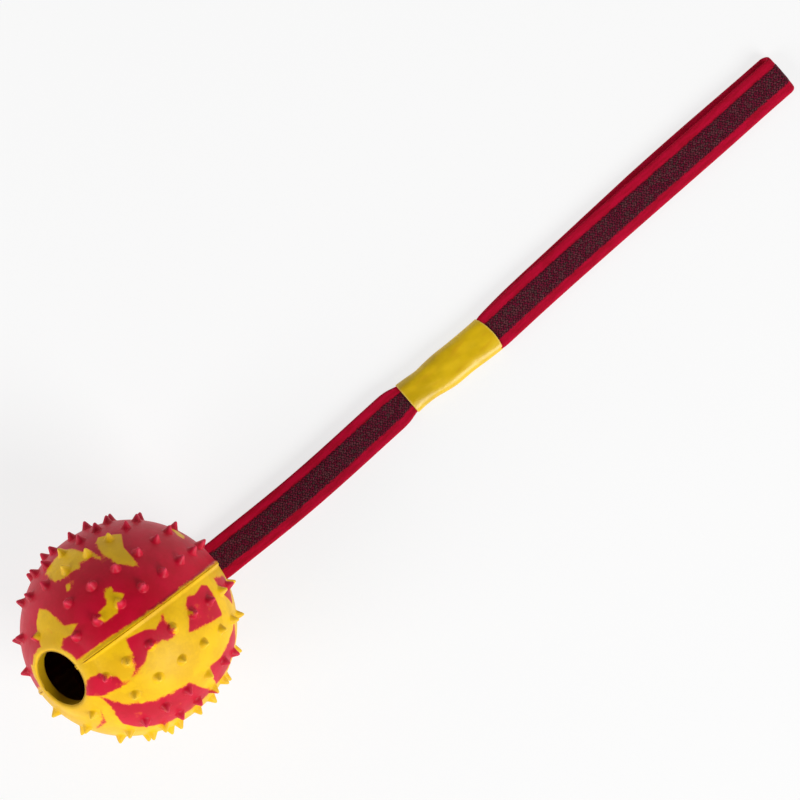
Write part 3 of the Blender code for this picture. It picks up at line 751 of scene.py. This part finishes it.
# The strap's width as (x, width): full, gathered where the sleeve holds it, and full again in the loop
SLEEVE_ROOM = 1.2 * MM
STRAP_WIDTHS = [
    (KEEPER.x - 2.5 * MM, WEB_WIDTH),
    (KEEPER.x + 0.5 * MM, 14.4 * MM),
    (SLEEVE_START - 1.8 * MM, 13.1 * MM),
    (SLEEVE_START, 12.2 * MM),
    *((x, width - 2 * SLEEVE_FILM - SLEEVE_ROOM) for x, width in SLEEVE_WIDTHS[1:-1]),
    (SLEEVE_END - 2.5 * MM, 13.1 * MM),
    (SLEEVE_END - 0.8 * MM, 14.7 * MM),
    (SLEEVE_END + 5 * MM, WEB_WIDTH),
]

# Unevenness of the loop's layers, each wave as (height, radians in a metre, start), and where it fades
SHARED_WAVES = ((0.08 * MM, 88, 0.6), (0.045 * MM, 213, 2.0))
PARTING_WAVE = (0.12 * MM, 61, 0.0)
WAVES_FADE_IN = 20.0 * MM
WAVES_FADE_OUT = 12.0 * MM

# Where the level run bends, where the tails are cut, and how far each bend reaches from its joint
LEVEL_BENDS = (KEEPER.x, LOOP.x, OVER_MIDDLE.x, FOLD_OVER.x)
LEAD_CUT = -60.0 * MM
BALL_BEND = 6.0 * MM
KEEPER_BEND = 4.8 * MM
LOOP_BEND = (1.2 * MM, 8.0 * MM)
MIDDLE_BEND = 9.0 * MM
FOLD_BEND = 4.5 * MM


class Station:
    """One cross-section of the strap: its place, its sideways and upward directions, and its width."""

    def __init__(self, place, side, up, width=WEB_WIDTH):
        self.place = place
        self.side = side
        self.up = up
        self.width = width
        self.run = 0.0


def tail_stations(sign):
    """One layer's tail, upper (1) or lower (-1): turned back inside the ball, then out to the bend."""
    high = LAYER_PITCH / 2
    outward = ABOVE * sign
    turn_centre = BALL_CENTRE + OUT * TAIL_START + outward * 2 * high
    stations = []
    # the turned-back end, the turn and the run out to the bend
    for k in range(13):
        out = TAIL_END + (TAIL_START - TAIL_END) * k / 12
        stations.append(Station(BALL_CENTRE + OUT * out + outward * 3 * high, LEVEL, -outward))
    for k in range(1, 12):
        angle = math.pi * k / 12
        spoke = outward * math.cos(angle) - OUT * math.sin(angle)
        stations.append(Station(turn_centre + spoke * high, LEVEL, -spoke))
    reach = (LEAD - BALL_CENTRE).length - BEND_TANGENT
    for k in range(25):
        out = TAIL_START + (reach - TAIL_START) * k / 24
        stations.append(Station(BALL_CENTRE + OUT * out + outward * high, LEVEL, outward))
    return stations


def bend_stations(sign):
    """One layer's bend from the strap hole's direction to the level."""
    centre = LEAD - OUT * BEND_TANGENT + ABOVE * BEND_RADIUS
    stations = []
    for k in range(1, 15):
        up = (Matrix.Rotation(-BEND_ANGLE * k / 14, 3, LEVEL) @ ABOVE).normalized()
        place = centre - up * BEND_RADIUS
        stations.append(Station(place + up * sign * LAYER_PITCH / 2, LEVEL, up * sign))
    return stations


def level_side(sides, x):
    """The level strap's sideways direction: square to its route, and near the ball as at the strap hole."""
    if x > KEEPER.x:
        slope = (smooth_value(sides, x + MM / 2) - smooth_value(sides, x - MM / 2)) / MM
        return Vector((-slope, 1.0, 0.0)).normalized()
    share = (KEEPER.x - x) / (KEEPER.x - BEND_END.x)
    return Vector((0.0, 1.0, 0.0)).lerp(LEVEL, min(1.0, share)).normalized()


def wave(x, height, turn, start):
    """A wave's height at x."""
    return height * math.sin(turn * x + start)


def layer_height(x, sign):
    """Height of a layer's middle. In the loop the two layers lie a little unevenly on each other."""
    fade = max(0.0, min(1.0, (x - SLEEVE_END) / WAVES_FADE_IN, (FOLD_START - x) / WAVES_FADE_OUT))
    both = sum(wave(x, *shape) for shape in SHARED_WAVES)
    return STRAP_MIDDLE + sign * LAYER_PITCH / 2 + (both + sign * wave(x, *PARTING_WAVE)) * fade


def level_stations(sides, sign, start, end):
    """One layer's level run between two X values, with more stations within reach of the bends."""
    onward = 1 if end > start else -1
    places = [start]
    while (end - places[-1]) * onward > STEP_STRAIGHT:
        near = any(abs(places[-1] - x) < BENT_REACH for x in LEVEL_BENDS)
        places.append(places[-1] + onward * (STEP_BENT if near else STEP_STRAIGHT))
    places.append(end)
    up = Vector((0, 0, sign))
    stations = []
    for x in places:
        place = Vector((x, smooth_value(sides, x), layer_height(x, sign)))
        stations.append(Station(place, level_side(sides, x), up, smooth_value(STRAP_WIDTHS, x)))
    return stations


def fold_arm(sides, sign):
    """One layer's approach to the end fold, where it lifts away from the other layer."""
    stations = []
    for k in range(1, 10):
        share = k / 9
        x = FOLD_START + FOLD_EASE * share
        lift = STRAP_LIFT * share**2 * (3 - 2 * share)
        slope = STRAP_LIFT * 6 * share * (1 - share) / FOLD_EASE
        place = Vector((x, smooth_value(sides, x), STRAP_MIDDLE + sign * (LAYER_PITCH / 2 + lift)))
        stations.append(Station(place, Vector((0, 1, 0)), Vector((-slope, 0, sign)).normalized()))
    return stations


def fold_stations():
    """The end fold, from the upper layer round to the lower one, a little askew."""
    radius = LAYER_PITCH / 2 + STRAP_LIFT
    over_side = smooth_value(OVER_SIDES, FOLD_CENTRE)
    under_side = smooth_value(UNDER_SIDES, FOLD_CENTRE)
    turn = []
    for k in range(1, 24):
        share = k / 24
        spoke = Vector((math.sin(math.pi * share), 0, math.cos(math.pi * share)))
        side = over_side + (under_side - over_side) * share**2 * (3 - 2 * share)
        middle = Vector((FOLD_CENTRE, side, STRAP_MIDDLE))
        turn.append(Station(middle + spoke * radius, Vector((0, 1, 0)), spoke))
    return fold_arm(OVER_SIDES, 1) + turn + fold_arm(UNDER_SIDES, -1)[::-1]


def measure(stations):
    """Writes each station's distance along the strap."""
    for before, station in zip(stations, stations[1:]):
        station.run = before.run + (station.place - before.place).length


def cut(stations, places):
    """Splits a run of stations at these X values. Neighbours share the station at the cut."""
    found = [min(range(len(stations)), key=lambda k: abs(stations[k].place.x - x)) for x in places]
    edges = [0] + found + [len(stations) - 1]
    return [stations[first : last + 1] for first, last in zip(edges, edges[1:])]


def strap_piece(name, stations, bodies, nodes, bend=None, knuckle=False):
    """One length of strap on one body; a length given a bend spans a joint between two bodies and is left
    unattached. A knuckle is a rounded end.
    """
    heading = stations[-1].place - stations[-2].place
    slices = [(station, 1.0, 0.0) for station in stations]
    if knuckle:
        turns = [math.radians(degrees) for degrees in (25, 50, 75)]
        slices += [(stations[-1], math.cos(turn), BAND_THICKNESS / 2 * math.sin(turn)) for turn in turns]
    bm = bmesh.new()
    layer = bm.loops.layers.uv.new("strap_run")
    rings = []
    run_of = {}
    for station, flatness, beyond in slices:
        middle = station.place + heading.normalized() * beyond
        stretch = station.width / WEB_WIDTH * MM
        rings.append([
            bm.verts.new(middle + station.side * y * stretch + station.up * z * flatness * MM)
            for y, z in SECTION
        ])
        run_of.update({vert: (station.run + beyond, y * MM) for vert, (y, z) in zip(rings[-1], SECTION)})
    ring_faces(bm, rings)
    bm.faces.new(rings[0])
    bm.faces.new(rings[-1])
    for face in bm.faces:
        for loop in face.loops:
            loop[layer].uv = run_of[loop.vert]
    made = piece(name, new_mesh(name, bm), WEBBING, sharp=50)
    if bend:
        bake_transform(made)
    else:
        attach(made, *bodies)
    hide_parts(*nodes)


def bend_at(joint, before, after):
    """Where a bend starts and ends, as two steps along X from its joint."""
    return joint + Vector((before, 0, 0)), joint + Vector((after, 0, 0))


def make_strap():
    """Both layers of the one strap, cut into lengths at its joints."""
    upper = tail_stations(1) + bend_stations(1)
    upper += level_stations(OVER_SIDES, 1, LEVEL_START, FOLD_START)
    fold = fold_stations()
    lower = level_stations(UNDER_SIDES, -1, FOLD_START, LOOP.x)
    measure(upper + fold + lower)
    tail = tail_stations(-1) + bend_stations(-1)
    tail += level_stations(UNDER_SIDES, -1, LEVEL_START, LOOP.x - BAND_THICKNESS / 2 - FIT_GAP)
    measure(tail)

    sleeve_cut = (SLEEVE_START + SLEEVE_END) / 2
    near_cut = (LOOP.x + OVER_MIDDLE.x) / 2
    far_cut = (OVER_MIDDLE.x + FOLD_OVER.x) / 2
    upper_cuts = (LEAD_CUT, sleeve_cut, near_cut, far_cut)
    upper_tail, upper_lead, upper_start, upper_middle, upper_end = cut(upper, upper_cuts)
    lower_end, lower_middle, lower_start = cut(lower, (far_cut, near_cut))
    lower_tail, lower_lead, lower_sleeve = cut(tail, (LEAD_CUT, sleeve_cut))

    at_ball = (LEAD - OUT * BALL_BEND, LEAD + HEADING * BALL_BEND)
    at_keeper = bend_at(KEEPER, -KEEPER_BEND, KEEPER_BEND)
    layers = (("upper", "over", upper_tail, upper_lead), ("lower", "under", lower_tail, lower_lead))
    for level, layer, in_ball, on_ground in layers:
        nodes = ("strap_tail_" + layer, "strap_lead_" + layer, "strap_in_sleeve")
        strap_piece("strap_tail_" + level, in_ball, ("anchor", "lead"), nodes[:2], at_ball)
        strap_piece("strap_lead_" + level, on_ground, ("lead", "keeper"), nodes[1:], at_keeper)
    strap_piece("sleeve_lower_layer", lower_sleeve, ("keeper",), ("strap_in_sleeve",))
    at_loop = bend_at(LOOP, -LOOP_BEND[0], LOOP_BEND[1])
    nodes = ("strap_in_sleeve", "loop_over_near")
    strap_piece("loop_upper_start", upper_start, ("keeper", "loop_over_near"), nodes, at_loop)
    # in the rest of the loop the nodes are named as their bodies, here in their order along the strap
    chain = ("loop_over_near", "loop_over_far", "loop_end_fold", "loop_under_far", "loop_under_near")
    lengths = (
        ("loop_upper_middle", upper_middle, OVER_MIDDLE, MIDDLE_BEND),
        ("loop_upper_end", upper_end, FOLD_OVER, FOLD_BEND),
        ("loop_lower_end", lower_end, FOLD_UNDER, -FOLD_BEND),
        ("loop_lower_middle", lower_middle, UNDER_MIDDLE, -MIDDLE_BEND),
    )
    for bodies, (name, stations, joint, reach) in zip(zip(chain, chain[1:]), lengths):
        strap_piece(name, stations, bodies, bodies, bend_at(joint, -reach, reach))
    strap_piece("loop_fold", upper[-1:] + fold + lower[:1], chain[2:3], chain[2:3])
    strap_piece("loop_lower_start", lower_start, chain[4:], chain[4:], knuckle=True)


# The sleeve

FILM_TONES = ((0.66, 0.42, 0.0), (0.82, 0.53, 0.002))
FILM_WARM = (0.72, 0.33, 0.01)
FILM_EDGE_HIGHLIGHT = (0.88, 0.62, 0.13)


def sleeve_material():
    """Glossy shrunk-on film, a little warmer where it is stretched, with a painted highlight along its cut
    ends.
    """
    g = Graph("shrunk_film")
    mm = g.object_mm()
    x, y = g.split(mm)[:2]
    colour = g.mix(g.step(g.noise(mm, 0.09, 3.0), 0.36, 0.66), *FILM_TONES)
    streaks = g.noise(g.combine(g.times(x, 0.25), y), 0.35, 3.0)
    colour = g.mix(g.step(streaks, 0.5, 0.75, 0.0, 0.35), colour, FILM_WARM)
    # painted highlight: the film turns paler towards its cut ends
    edge = g.node("ShaderNodeAttribute", attribute_name="rim_share").outputs["Fac"]
    colour = g.mix(g.times(edge, 0.65), colour, FILM_EDGE_HIGHLIGHT)
    waves = g.noise(g.combine(g.times(x, 0.4), y), 0.5, 2.0)
    height = g.add(waves, g.times(g.noise(mm, 2.5, 2.0), 0.08))
    roughness = g.line(g.noise(mm, 0.6, 3.0), 0.12, 0.3)
    return g.finish(colour, roughness, height, 0.3 * MM, 0.4, Coat_Weight=0.12, Coat_Roughness=0.3)


def sleeve_ring(x, inset):
    """The film's section at one place, drawn in by inset: full round shoulders and a low crown."""
    share = (x - SLEEVE_START) / SLEEVE_LENGTH
    start, end = SLEEVE_HEIGHTS
    height = start + (end - start) * share - SLEEVE_CROWN - 2 * inset
    half_width = smooth_value(SLEEVE_WIDTHS, x) / 2 - inset
    wide, tight = SLEEVE_SHOULDERS
    shoulder = wide + (tight - wide) * share - inset
    middle = smooth_value(SLEEVE_SIDES, x)
    outline = []
    for k in range(40):
        turn = math.pi * (k + 0.5) / 20
        right = 1 if math.cos(turn) > 0 else -1
        upward = 1 if k < 20 else -1
        reach = abs(math.cos(turn)) ** SLEEVE_FULLNESS
        rise = abs(math.sin(turn)) ** SLEEVE_FULLNESS
        side = right * (half_width - shoulder * (1 - reach))
        up = height / 2 * (1 + upward * rise)
        outline.append((side, up))
        # the flat stretch between the shoulders
        if k in (9, 29):
            outline += [(side * (1 - 2 * j / 10), up) for j in range(1, 10)]
    ring = []
    for across, up in outline:
        part = across / half_width
        dome = SLEEVE_CROWN * (1 - part**2) if up > height / 2 else 0.0
        dent = 0.0
        if up > height * 0.8:
            dent = SLEEVE_DENT * math.sin(330 * x + 1.0) * math.cos(7.5 * part + 160 * x)
        bow = (SLEEVE_BOW * part**2 + SLEEVE_SKEW * part) * share
        ring.append(Vector((x - bow, middle + across, inset + up + dome + dent)))
    return ring


def make_sleeve():
    """The film as a closed skin: its outside, a rolled rim at each end and its inside."""
    # each point of the rim is (how far in from the outside, how far back from the sleeve's end)
    rim = (
        (0.0, 0.16 * MM),
        (0.05 * MM, 0.04 * MM),
        (SLEEVE_FILM / 2, 0.0),
        (SLEEVE_FILM - 0.05 * MM, 0.04 * MM),
        (SLEEVE_FILM, 0.16 * MM),
    )
    start = SLEEVE_START + rim[0][1]
    length = SLEEVE_LENGTH - 2 * rim[0][1]
    slices = [(start + length * k / 72, 0.0) for k in range(73)]
    slices += [(SLEEVE_END - back, inset) for inset, back in rim[1:]]
    slices += [(start + length * (1 - k / 24), SLEEVE_FILM) for k in range(1, 25)]
    slices += [(SLEEVE_START + back, inset) for inset, back in rim[-2:0:-1]]
    bm = bmesh.new()
    rims = bm.verts.layers.float.new("rim_share")
    rings = []
    for x, inset in slices:
        ring = [bm.verts.new(point) for point in sleeve_ring(x, inset)]
        from_end = min(x - SLEEVE_START, SLEEVE_END - x)
        for vert in ring:
            vert[rims] = max(0.0, 1.0 - from_end / SLEEVE_RIM_FADE)
        rings.append(ring)
    ring_faces(bm, rings, closed=True)
    shown = piece("film_sleeve", new_mesh("film_sleeve", bm), sleeve_material(), sharp=60)
    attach(shown, "keeper")
    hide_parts("keeper_sleeve")


# Inside the ball

WASHER_TONES = ((0.012, 0.012, 0.013), (0.028, 0.027, 0.027))
THREAD_TONES = ((0.11, 0.0, 0.008), (0.26, 0.0, 0.02))
TACK_STARTS = (18.5 * MM, 25.0 * MM)
TACK_LENGTH = 1.9 * MM
TACK_HALF_WIDTH = 5.4 * MM
TACK_STITCHES = 24


def washer_material():
    """Black moulded plastic with a fine grain."""
    g = Graph("black_moulding")
    mm = g.object_mm()
    cloud = g.noise(mm, 0.3, 4.0, 0.6)
    colour = g.mix(g.step(cloud, 0.35, 0.7), *WASHER_TONES)
    roughness = g.line(cloud, 0.2, 0.42)
    return g.finish(colour, roughness, g.noise(mm, 5.0, 2.0), 0.04 * MM, 0.6)


def thread_material():
    """Dark red sewing thread with a twisted ply."""
    g = Graph("sewing_thread")
    mm = g.object_mm()
    x, y, z = g.split(mm)
    ply = g.hump(g.times(g.add(x, y, z), 3.1))
    # painted shade: the thread is darker in the grooves between its plies
    colour = g.mix(ply, *THREAD_TONES)
    roughness = g.line(g.noise(mm, 2.0), 0.1, 0.5)
    return g.finish(colour, roughness, ply, 0.05 * MM, 0.7)


def stitch(bm, hole, after, upward, face):
    """One stitch of thread, arched over the face between two needle holes."""
    beside = (after - hole).normalized().cross(ABOVE)
    rings = []
    for k in range(7):
        arch = math.sin(math.pi * k / 6)
        middle = hole.lerp(after, k / 6) + upward * (face + THREAD_RADIUS * (1.6 * arch - 0.8))
        turns = [2 * math.pi * j / 7 for j in range(7)]
        spokes = [beside * math.cos(turn) + ABOVE * math.sin(turn) for turn in turns]
        rings.append([bm.verts.new(middle + spoke * THREAD_RADIUS) for spoke in spokes])
    ring_faces(bm, rings)
    bm.faces.new(rings[0])
    bm.faces.new(rings[-1])


def make_bar_tacks():
    """Close zigzags of thread over the turned-back tails, which hold them together."""
    face = 3 * LAYER_PITCH / 2 + BAND_THICKNESS / 2
    bm = bmesh.new()
    for sign in (1, -1):
        for start in TACK_STARTS:
            holes = []
            for k in range(TACK_STITCHES + 1):
                side = TACK_HALF_WIDTH * (2 * k / TACK_STITCHES - 1)
                holes.append(BALL_CENTRE + OUT * (start + TACK_LENGTH * (k % 2)) + LEVEL * side)
            for hole, after in zip(holes, holes[1:]):
                stitch(bm, hole, after, ABOVE * sign, face)
    shown = piece("bar_tacks", new_mesh("bar_tacks", bm), thread_material(), sharp=60)
    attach(shown, "anchor")


# Studio

FLOOR_RADIUS = 3.0
FLOOR_DROP = 0.05 * MM
FLOOR_TONES = ((0.92, 0.92, 0.92), (0.95, 0.95, 0.95))
FLOOR_WHITE_SHARE = 0.75
# The light dims from the walls' level to the ceiling's as the direction's Z goes from 0.1 to 0.75
WORLD_LEVELS = {"From Min": 0.1, "From Max": 0.75, "To Min": 0.97, "To Max": 0.06}
# Each lamp: its direction from the object, its width and height, its power in watts and its distance
LAMPS = {
    "soft_box": ((0.17, -0.80, 0.60), (1.2, 1.0), 38.0, 2.2),
    "side_soft_box": ((-0.90, 0.10, 0.50), (1.2, 1.0), 22.0, 2.2),
}
CAMERA_PLACE = (-11.43 * MM, -1.6 * MM, 665.0 * MM)
CAMERA_TURN = -40.75
CAMERA_SENSOR = 36.0
CAMERA_LENS = 80.6
CAMERA_CLIP = 10.0 * MM


def make_floor():
    """White paper under the object. It looks white to the camera, and keeps a part of the shadow."""
    bm = bmesh.new()
    bmesh.ops.create_circle(bm, cap_ends=True, segments=96, radius=FLOOR_RADIUS)
    g = Graph("white_paper")
    grain = g.noise(g.object_mm(), 0.9, 2.0)
    colour = g.mix(grain, *FLOOR_TONES)
    g.finish(colour, g.line(grain, 0.05, 0.85), grain, 0.02 * MM, 0.2, Specular_IOR_Level=0.1)
    white = g.node("ShaderNodeEmission")
    paths = g.node("ShaderNodeLightPath")
    seen = g.math("MAXIMUM", paths.outputs["Is Camera Ray"], paths.outputs["Is Glossy Ray"])
    seen = g.math("MAXIMUM", seen, paths.outputs["Is Transmission Ray"])
    both = g.node("ShaderNodeMixShader")
    g.put(g.times(seen, FLOOR_WHITE_SHARE), both.inputs["Fac"])
    g.put(g.shader.outputs[0], both.inputs[1])
    g.put(white.outputs[0], both.inputs[2])
    g.put(both.outputs[0], g.tree.nodes["Material Output"].inputs["Surface"])
    floor = piece("floor", new_mesh("floor", bm), g.material, sharp=30)
    floor.location.z = -FLOOR_DROP


def make_world():
    """Pale walls all round and a dark ceiling, which keeps the colours deep."""
    world = bpy.data.worlds.new("studio")
    bpy.context.scene.world = world
    world.use_nodes = True
    nodes = world.node_tree.nodes
    links = world.node_tree.links
    background = nodes["Background"]
    background.inputs["Color"].default_value = (1.0, 1.0, 1.0, 1.0)
    split = nodes.new("ShaderNodeSeparateXYZ")
    links.new(nodes.new("ShaderNodeTexCoord").outputs["Generated"], split.inputs[0])
    level = nodes.new("ShaderNodeMapRange")
    level.interpolation_type = "SMOOTHSTEP"
    for key, number in WORLD_LEVELS.items():
        level.inputs[key].default_value = number
    links.new(split.outputs["Z"], level.inputs["Value"])
    links.new(level.outputs["Result"], background.inputs["Strength"])


def make_lamps():
    """Large soft boxes that look at the object."""
    for name, (towards, (width, height), watts, distance) in LAMPS.items():
        data = bpy.data.lights.new(name, "AREA")
        data.shape = "RECTANGLE"
        data.size = width
        data.size_y = height
        data.energy = watts
        lamp = link(name, data)
        lamp.location = Vector(towards).normalized() * distance
        lamp.rotation_euler = lamp.location.to_track_quat("Z", "Y").to_euler()


def make_camera():
    """Straight above the sleeve's ball end, turned so that the strap runs to the picture's upper right."""
    data = bpy.data.cameras.new("camera")
    data.sensor_width = CAMERA_SENSOR
    data.lens = CAMERA_LENS
    data.clip_start = CAMERA_CLIP
    camera = link("camera", data)
    camera.location = CAMERA_PLACE
    camera.rotation_euler.z = math.radians(CAMERA_TURN)
    bpy.context.scene.camera = camera


WEBBING = webbing_material()
make_ball()
make_strap()
make_sleeve()
make_bar_tacks()
frame["nodes"]["stop_washer"].material_slots[0].material = washer_material()
make_floor()
make_world()
make_lamps()
make_camera()
bpy.context.scene.view_settings.view_transform = "Standard"
